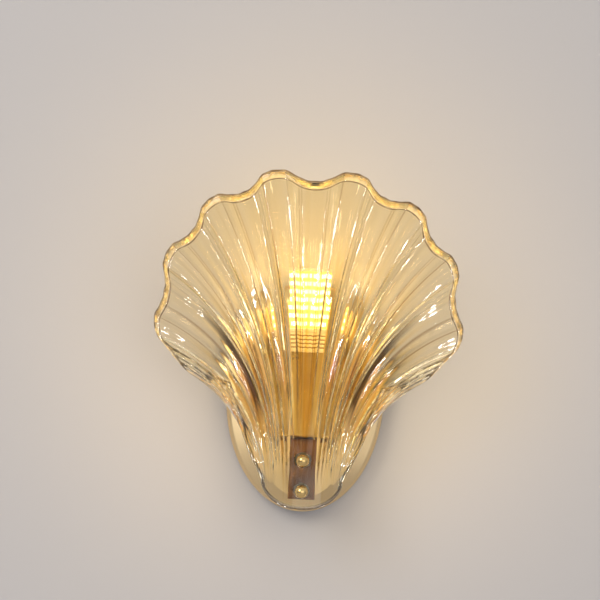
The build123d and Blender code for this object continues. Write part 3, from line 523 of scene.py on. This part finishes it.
def warm_glass():
    """Clear pressed glass with a golden tint, painted streaks of refracted light and shade, painted shade in
    the flutes' corners, in two wedges and along the edge, and a painted glow in the edge.
    """
    make = Maker("warm_glass")
    uv_map = make.nodes.new("ShaderNodeUVMap")
    uv_map.uv_map = "ribs"
    ribs = uv_map.outputs["UV"]
    place = make.add("SeparateXYZ", Vector=ribs)
    lobes, along = place.outputs["X"], place.outputs["Y"]
    off_middle = make.maths("ABSOLUTE", lobes)
    pitch, edge = make.attribute("pitch"), make.attribute("edge")
    streaks = make.noise(1.0, 2, 0.5, at=make.scaled(ribs, STREAK_SCALE))

    # lines in the corners of the flutes, a sixth and a third of a lobe from each valley: dents, with painted
    # shade along them
    off_crest = make.gap(make.maths("FRACT", make.plus(lobes, 10.0)), 0.5)
    off_line = make.gap(make.gap(off_crest, 0.25), 1 / 12)
    line = make.times(make.span(make.times(off_line, pitch), 1, 0, LINE_CORE_W, LINE_W),
                      make.times(make.span(along, 0, 1, 0.2, 0.5), make.span(along, 1, 0.6, 0.6, 0.9)))
    # flat-sided ribs, deepest below
    facet = make.times(make.gap(make.maths("FRACT", make.times(lobes, FACETS_A_LOBE)), 0.5),
                       make.times(make.span(along, 0, 1, 0.06, 0.35), make.span(along, 1, 0.1, 0.5, 0.8),
                                  make.span(off_middle, 1, 0, 3.7, 4.5)))
    # fine round ribs, deepest on the wings but not at their edges
    fine = make.times(make.maths("COSINE", make.times(lobes, 2 * pi * LINES_A_LOBE)),
                      make.times(make.span(along, 0, 1, 0.4, 0.6), make.span(pitch, 0, 1, 0, WIDE_PITCH),
                                 make.maths("MINIMUM", make.span(off_middle, 0.1, 1.6, 2, 4),
                                            make.span(off_middle, 1.6, 0.2, 4.1, 4.7))))
    # painted shade: the dark wedge to either side
    off_valley = make.times(make.gap(off_middle, DARK_VALLEY), pitch)
    valley = make.times(make.span(off_valley, 1, 0, DARK_VALLEY_CORE * DARK_VALLEY_W, DARK_VALLEY_W),
                        make.times(make.span(along, 0, 1, 0.27, 0.38), make.span(along, 1, 0, 0.64, 0.86)))

    swirl = make.noise(26, 2, at=make.stretched((1, 1, 0.35)))
    seeds = make.span(make.spots(150), 0, 1, 0.0, 0.09)
    normal = None
    for height, depth, strength in ((swirl, SOFT_DENT, 0.1), (facet, FACET_DENT, 1.0), (fine, FINE_DENT, 1.0),
                                    (line, LINE_DENT, 0.8), (streaks, SOFT_DENT, 0.05),
                                    (seeds, SOFT_DENT, 0.12)):
        normal = make.bump(height, depth, strength, over=normal)

    # the golden tint: deeper low down and in the middle, with painted streaks of light and shade, and the
    # painted shade of the corner lines, the wedges and the edge over it
    tinted = make.plus(make.span(make.height(), 0, 0.8, -0.06, 0.01), make.span(streaks, -0.12, 0.12))
    tinted = make.plus(tinted, make.span(off_middle, 0.2, -0.3, 0.8, 3.2))
    colour = make.colours(tinted, (0.0, PALE), (0.75, HONEY), (1.0, AMBER))
    # painted streaks of the lamp's light and the brass's shade, as the ribs refract them
    painted_streaks = make.colours(make.noise(1.0, 1.5, 0.6, at=make.scaled(ribs, PAINTED_STREAK_SCALE)),
                         (0.3, BROWN_STREAK), (0.39, GOLD_STREAK), (0.47, FAINT_STREAK),
                         (0.6, NO_STREAK), (0.67, WARM_STREAK), (0.76, ORANGE_STREAK))
    where_streaks_painted = make.times(make.span(along, 0.1, 0.9, 0.02, 0.25), make.span(along, 1, 0.1, 0.5, 0.85))
    colour = make.multiply(where_streaks_painted, colour, painted_streaks)
    colour = make.multiply(make.times(line, make.span(streaks, 0.4, 1.0)), colour, CORNER_SHADE_BROWN)
    colour = make.multiply(valley, colour, VALLEY_SHADE_BROWN)
    # painted shade: dark lines along the edge, where less light goes through the glass; painted glow: the lit
    # rings between them, as of the lamp's light coming out of the edge
    painted_edge_shade = make.times(make.span(edge, 0, 1, 0.35, 0.9), make.span(streaks, 0.75, 1.0))
    colour = make.multiply(painted_edge_shade, colour, EDGE_SHADE_BROWN)
    lit_edge = make.times(make.span(edge, 1, 0, -1.0, 0.0), make.span(streaks, 0.3, 1.0))
    glass = make.add("BsdfPrincipled", Roughness=make.span(make.noise(60), 0.006, 0.02), Normal=normal,
                     Base_Color=colour, IOR=1.5, Transmission_Weight=make.span(edge, 1, 0.2, 0.4, 0.9),
                     Emission_Color=make.colours(lit_edge, (0.0, BLACK), (1.0, EDGE_GLOW)),
                     Emission_Strength=1.0)
    clear = make.add("BsdfTransparent", Color=SHADOW_TINT)
    ray = make.nodes.new("ShaderNodeLightPath")
    make.surface(make.either(ray.outputs["Is Shadow Ray"], glass, clear))
    tint = make.add("VolumeAbsorption", Color=DEEP_TINT, Density=DEEP_TINT_DENSITY)
    make.links.new(tint.outputs[0], make.out.inputs["Volume"])
    return make.material


def metal(name, light, dark, rough, grain=(60, 60, 60), bump=0.00005, blotch=14):
    """A metal whose colour, gloss and fine tooling marks vary over its surface."""
    make = Maker(name)
    patches = make.noise(blotch, 4, 0.6, distortion=0.4)
    lines = make.noise(1.0, 5, 0.65, at=make.stretched(grain))
    low, high = rough
    shine = make.plus(make.span(patches, low, high), make.span(lines, 0, (high - low) * 0.5))
    shader = make.add("BsdfPrincipled", Roughness=shine, Normal=make.bump(lines, bump, 0.5), Metallic=1.0,
                      Base_Color=make.colours(patches, (0.32, dark), (0.68, light)))
    make.surface(shader.outputs[0])
    return make.material


GROOVE_SHADE = (0.4, 0.28, 0.15)
GROOVE_SOFT = 0.02          # how softly a groove's painted shade ends, as a share of the pitch
GROOVE_FADE = 0.0002        # how softly the whole stack ends, in metres
GROOVE_REACH = 40           # pitches counted to either side of the lowest groove


def groove_mask(make, lowest, pitch, width, count=4):
    """1 in a stack of level grooves: the lowest one's height, their pitch and width, and how many pitches."""
    height = make.height()
    counted = GROOVE_REACH * pitch
    turns = make.span(height, -GROOVE_REACH, GROOVE_REACH, lowest - counted, lowest + counted)
    filled = width / pitch
    inside = make.span(make.maths("FRACT", make.plus(turns, 100.0)), 1, 0, filled, filled + GROOVE_SOFT)
    top = lowest + count * pitch
    return make.times(inside, make.times(make.span(height, 0, 1, lowest - GROOVE_FADE, lowest),
                                         make.span(height, 1, 0, top, top + GROOVE_FADE)))


def plastic(name, light, dark, rough, speck=220, bump=0.00004, see_through=0.0, grooves=None):
    """A moulded plastic with a fine skin, a not quite even colour, and painted shade in its grooves if it has
    any.
    """
    make = Maker(name)
    skin = make.noise(speck, 3, 0.6)
    colour = make.colours(make.noise(30, 3), (0.3, dark), (0.7, light))
    if grooves:
        # painted shade in the grooves
        colour = make.multiply(groove_mask(make, *grooves), colour, GROOVE_SHADE)
    shader = make.add("BsdfPrincipled", Roughness=make.span(skin, *rough), Normal=make.bump(skin, bump, 0.6),
                      Base_Color=colour, IOR=1.47, Transmission_Weight=see_through)
    make.surface(shader.outputs[0])
    return make.material


def glowing(name, dim, bright, base, strength):
    """A lit surface: its glow is a little uneven."""
    make = Maker(name)
    shader = make.add("BsdfPrincipled", Roughness=make.span(make.noise(400), 0.25, 0.4),
                      Base_Color=(*base, 1),
                      Emission_Color=make.colours(make.noise(240, 2), (0.3, dim), (0.7, bright)),
                      Emission_Strength=strength)
    make.surface(shader.outputs[0])
    return make.material


glass = warm_glass()
shell.data.materials.clear()
shell.data.materials.append(glass)
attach(shell, "fixed")
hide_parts("glass_shade")

plate_brass = metal("plate_brass", (0.84, 0.65, 0.37), (0.76, 0.57, 0.31), (0.24, 0.34),
                    grain=(500, 500, 90), bump=0.00003, blotch=9)
cup_brass = metal("plain_brass", (0.62, 0.45, 0.17), (0.49, 0.34, 0.12), (0.22, 0.34),
                  grain=(60, 60, 900), bump=0.00004)
screw_brass = metal("screw_brass", (0.83, 0.6, 0.26), (0.72, 0.48, 0.17), (0.06, 0.14),
                    grain=(700, 700, 700), bump=0.00001, blotch=60)
bar_bronze = metal("bronzed_brass", (0.175, 0.08, 0.03), (0.07, 0.03, 0.012), (0.34, 0.52),
                   grain=(260, 260, 120), bump=0.0001, blotch=55)
zinc = metal("zinc_steel", (0.66, 0.68, 0.69), (0.5, 0.52, 0.53), (0.25, 0.42),
             grain=(120, 120, 40), blotch=22)
plated = metal("plated_metal", (0.76, 0.74, 0.7), (0.62, 0.6, 0.56), (0.15, 0.28), grain=(80, 80, 700))
block_white = plastic("block_plastic", (0.78, 0.77, 0.73), (0.72, 0.7, 0.66), (0.35, 0.5))
holder_ivory = plastic("holder_plastic", (0.84, 0.78, 0.64), (0.76, 0.7, 0.56), (0.25, 0.42),
                       grooves=(0.0398, 0.003, 0.001))
insulator_black = plastic("black_plastic", (0.03, 0.03, 0.035), (0.018, 0.018, 0.02), (0.12, 0.25))
lamp_white = plastic("lamp_white", (0.85, 0.82, 0.75), (0.79, 0.76, 0.68), (0.25, 0.4))
phosphor = glowing("chip_yellow", (1.0, 0.95, 0.74), (1.0, 0.98, 0.88), (0.5, 0.4, 0.1), 5.0)
# painted glow: the chips' bodies and the lamp's core glow as if lit by the windows round them
chips = glowing("chip_white", (1.0, 0.7, 0.24), (1.0, 0.78, 0.32), (0.75, 0.68, 0.5), 0.9)
core = glowing("lamp_core", (1.0, 0.7, 0.16), (1.0, 0.8, 0.24), (0.3, 0.22, 0.1), 1.7)
brown_lead = plastic("lead_brown", (0.16, 0.07, 0.035), (0.12, 0.05, 0.025), (0.3, 0.45))
blue_lead = plastic("lead_blue", (0.03, 0.12, 0.42), (0.02, 0.09, 0.34), (0.3, 0.45))
silicone = plastic("pad_silicone", (0.95, 0.93, 0.9), (0.88, 0.86, 0.82), (0.2, 0.35), see_through=0.85)


def striped_lead():
    """Green insulation with a yellow stripe along it."""
    make = Maker("lead_green")
    bands = make.add("TexWave", Vector=make.stretched((1, 1, 0.2)), Scale=150.0, Distortion=0.6)
    colour = make.colours(bands.outputs["Fac"], (0.55, (0.03, 0.26, 0.06)), (0.62, (0.72, 0.58, 0.05)))
    skin = make.noise(300)
    shader = make.add("BsdfPrincipled", Roughness=make.span(skin, 0.3, 0.45), Normal=make.bump(skin, 0.00003),
                      Base_Color=colour)
    make.surface(shader.outputs[0])
    return make.material


put_on(plate_brass, "backplate")
put_on(cup_brass, "arm", "lamp_cup", "arm_nut", "cup_nut", "cup_nipple", "shade_washers")
put_on(bar_bronze, "shade_bracket")
put_on(screw_brass, "shade_screw_upper", "shade_screw_lower", "canopy_screws")
put_on(zinc, "mounting_strap", "earth_washer", "earth_screw", "earth_tag", "terminal_fixing_screw",
       "terminal_screws")
put_on(plated, "holder_shell", "holder_contact", "holder_terminals", "bulb_cap", "bulb_tip")
put_on(block_white, "terminal_block")
put_on(holder_ivory, "holder_base", "holder_body")
put_on(insulator_black, "bulb_insulator")
put_on(lamp_white, "bulb_neck", "bulb_top")
put_on(chips, "led_chips")
windows.data.materials.append(phosphor)
put_on(core, "bulb_core")
put_on(brown_lead, "lead_live")
put_on(blue_lead, "lead_neutral")
put_on(striped_lead(), "lead_earth")
put_on(silicone, "shade_pads")


# ---------------------------------------------------------------- wall, floor and light
def paint(name, light, dark):
    """Matt wall paint with a faint roller texture, seen from its front only."""
    make = Maker(name)
    roller = make.noise(420, 4, 0.6)
    shader = make.add("BsdfPrincipled", Roughness=make.span(roller, 0.8, 0.95), Specular_IOR_Level=0.15,
                      Normal=make.bump(roller, 0.00015, 0.25),
                      Base_Color=make.colours(make.noise(1.5), (0.3, dark), (0.7, light)))
    side = make.nodes.new("ShaderNodeNewGeometry")
    make.surface(make.either(side.outputs["Backfacing"], shader, make.add("BsdfTransparent")))
    return make.material


def stage_piece(name, points, faces, material):
    """A part of the room. Its corners run anticlockwise as seen from its painted side."""
    mesh = bpy.data.meshes.new(name)
    mesh.from_pydata(points, [], faces)
    mesh.materials.append(material)
    obj = bpy.data.objects.new(name, mesh)
    scene.collection.objects.link(obj)


WALL_Y = 0.0006
FLOOR_Z = -0.9
WALL_REACH = 3.0
FLOOR_FRONT_Y = -4.0
OPENING_HALF_W = 0.059      # the plate's are 0.0625 and 0.0915, so it covers the opening
OPENING_HALF_H = 0.088
OPENING_SIDES = 60


def wall_shape():
    """A wall that is open behind the plate, so that light from behind reaches into the plate's hollow."""
    corners = [(x, z) for x in (-WALL_REACH, WALL_REACH) for z in (FLOOR_Z, WALL_REACH)]
    turns = [2 * pi * step / OPENING_SIDES - pi for step in range(OPENING_SIDES)]
    points = []
    for turn in sorted(turns + [atan2(z, x) for x, z in corners]):
        x, z = cos(turn), sin(turn)
        wall_end = WALL_REACH if z > 0 else -FLOOR_Z
        end = min(WALL_REACH / max(abs(x), 1e-9), wall_end / max(abs(z), 1e-9))
        points += [(OPENING_HALF_W * x, WALL_Y, OPENING_HALF_H * z), (end * x, WALL_Y, end * z)]
    count = len(points)
    return points, [(k, k + 1, (k + 3) % count, (k + 2) % count) for k in range(0, count, 2)]


wall_paint = paint("wall_paint", (0.62, 0.6, 0.6), (0.605, 0.586, 0.585))
stage_piece("wall", *wall_shape(), wall_paint)
stage_piece("floor", [(-WALL_REACH, FLOOR_FRONT_Y, FLOOR_Z), (WALL_REACH, FLOOR_FRONT_Y, FLOOR_Z),
                      (WALL_REACH, WALL_Y, FLOOR_Z), (-WALL_REACH, WALL_Y, FLOOR_Z)],
                      [(0, 1, 2, 3)], wall_paint)


def area_light(name, place, target, size, power, colour, hidden=False):
    """A light that no camera sees. A hidden one isn't seen in the glass or the metal either."""
    data = bpy.data.lights.new(name, "AREA")
    data.shape = "RECTANGLE"
    data.size, data.size_y = size
    data.energy = power
    data.color = colour
    light = bpy.data.objects.new(name, data)
    light.location = place
    light.rotation_euler = (Vector(target) - Vector(place)).to_track_quat("-Z", "Y").to_euler()
    light.visible_camera = False
    if hidden:
        light.visible_glossy = False
        light.visible_transmission = False
    scene.collection.objects.link(light)
    return light


def lit_only(name, node):
    """A collection of one object, for lights that nothing else is to show."""
    collection = bpy.data.collections.new(name)
    collection.objects.link(node)
    return collection


PLAIN_WHITE, WARM_WHITE, SHEEN_WHITE = (1, 0.995, 0.99), (1, 0.985, 0.97), (1, 0.98, 0.95)
area_light("key", (-1.3, -1.7, 1.2), (0, 0, 0.05), (1.1, 1.1), 17, WARM_WHITE)
area_light("fill", (0.8, -2.6, 0.3), (0, 0, 0.05), (2.6, 1.8), 12.5, PLAIN_WHITE)

# Narrow lights that only leave bright streaks along the ribs of the glass: place, size and power.
STREAK_LIGHTS = (
    ((0.74, -0.42, -0.52), (0.05, 0.5), 6),
    ((-0.74, -0.42, -0.52), (0.05, 0.5), 4),
    ((0.36, -0.82, -0.36), (0.03, 0.18), 0.9),
    ((-0.42, -0.78, -0.36), (0.03, 0.18), 0.9),
    ((-0.66, -0.93, -0.68), (0.1, 0.16), 8),
    ((0.66, -0.93, -0.68), (0.12, 0.08), 1.5),
)
on_glass = lit_only("on_glass", shell)
for place, size, power in STREAK_LIGHTS:
    strip = area_light("strip", place, (0, -0.07, 0.05), size, power, WARM_WHITE)
    strip.visible_diffuse = False
    strip.light_linking.receiver_collection = on_glass

# Soft light that only the brass plate shows: place and power.
on_brass = lit_only("on_brass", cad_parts["backplate"])
for place, power in (((1.5, -1.1, -0.3), 3.5), ((-1.5, -1.3, -0.1), 8.2)):
    sheen = area_light("sheen", place, (0, 0, 0), (1.3, 1.3), power, SHEEN_WHITE)
    sheen.light_linking.receiver_collection = on_brass

# The lamp's own light on the wall and the brass, spread as the glass spreads it: place, width and power.
LAMP_LIGHT = (1.0, 0.7, 0.29)
for name, place, width, power in (("lamp_glow", (0, -0.14, 0.075), 0.3, 0.34),
                                  ("inner_glow", (0, -0.066, 0.085), 0.15, 0.075)):
    glow = area_light(name, place, (0, 0, place[2]), (width, width), power, LAMP_LIGHT, hidden=True)
    glow.data.shape = "DISK"
holder_glow = area_light("holder_glow", (0, -0.13, 0.1), (0, -0.046, 0.045), (0.06, 0.06), 0.24,
                         (1.0, 0.86, 0.7), hidden=True)
holder_glow.light_linking.receiver_collection = lit_only("on_holder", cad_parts["holder_body"])

# The sparks stand round the lamp, just outside it.
SPARKS = 6
SPARK_RING_R = 0.022
SPARK_Z = 0.078
for number in range(SPARKS):
    turn = 2 * pi * number / SPARKS
    spark = bpy.data.lights.new("lamp_spark", "POINT")
    spark.energy = 0.022
    spark.color = LAMP_LIGHT
    spark.shadow_soft_size = 0.004
    obj = bpy.data.objects.new(f"lamp_spark_{number}", spark)
    obj.location = (SPARK_RING_R * cos(turn), LAMP_Y * MM + SPARK_RING_R * sin(turn), SPARK_Z)
    obj.visible_camera = obj.visible_glossy = obj.visible_transmission = False
    scene.collection.objects.link(obj)

# A plain grey studio, dark below and light above.
SKY_STOPS = ((0.0, 0.2), (0.45, 0.3), (0.6, 0.5), (1.0, 0.75))
world = bpy.data.worlds.new("studio")
world.use_nodes = True
scene.world = world
nodes, links = world.node_tree.nodes, world.node_tree.links
nodes.clear()
direction = nodes.new("ShaderNodeTexCoord")
split = nodes.new("ShaderNodeSeparateXYZ")
links.new(direction.outputs["Generated"], split.inputs[0])
height = nodes.new("ShaderNodeMapRange")
height.inputs["From Min"].default_value = -1
height.inputs["From Max"].default_value = 1
links.new(split.outputs["Z"], height.inputs["Value"])
ramp = nodes.new("ShaderNodeValToRGB")
links.new(height.outputs["Result"], ramp.inputs["Fac"])
elements = ramp.color_ramp.elements
while len(elements) < len(SKY_STOPS):
    elements.new(0.5)
for element, (place, level) in zip(elements, SKY_STOPS):
    element.position = place
    element.color = (level, level * 0.975, level * 0.95, 1)
background = nodes.new("ShaderNodeBackground")
links.new(ramp.outputs["Color"], background.inputs["Color"])
output = nodes.new("ShaderNodeOutputWorld")
links.new(background.outputs[0], output.inputs["Surface"])
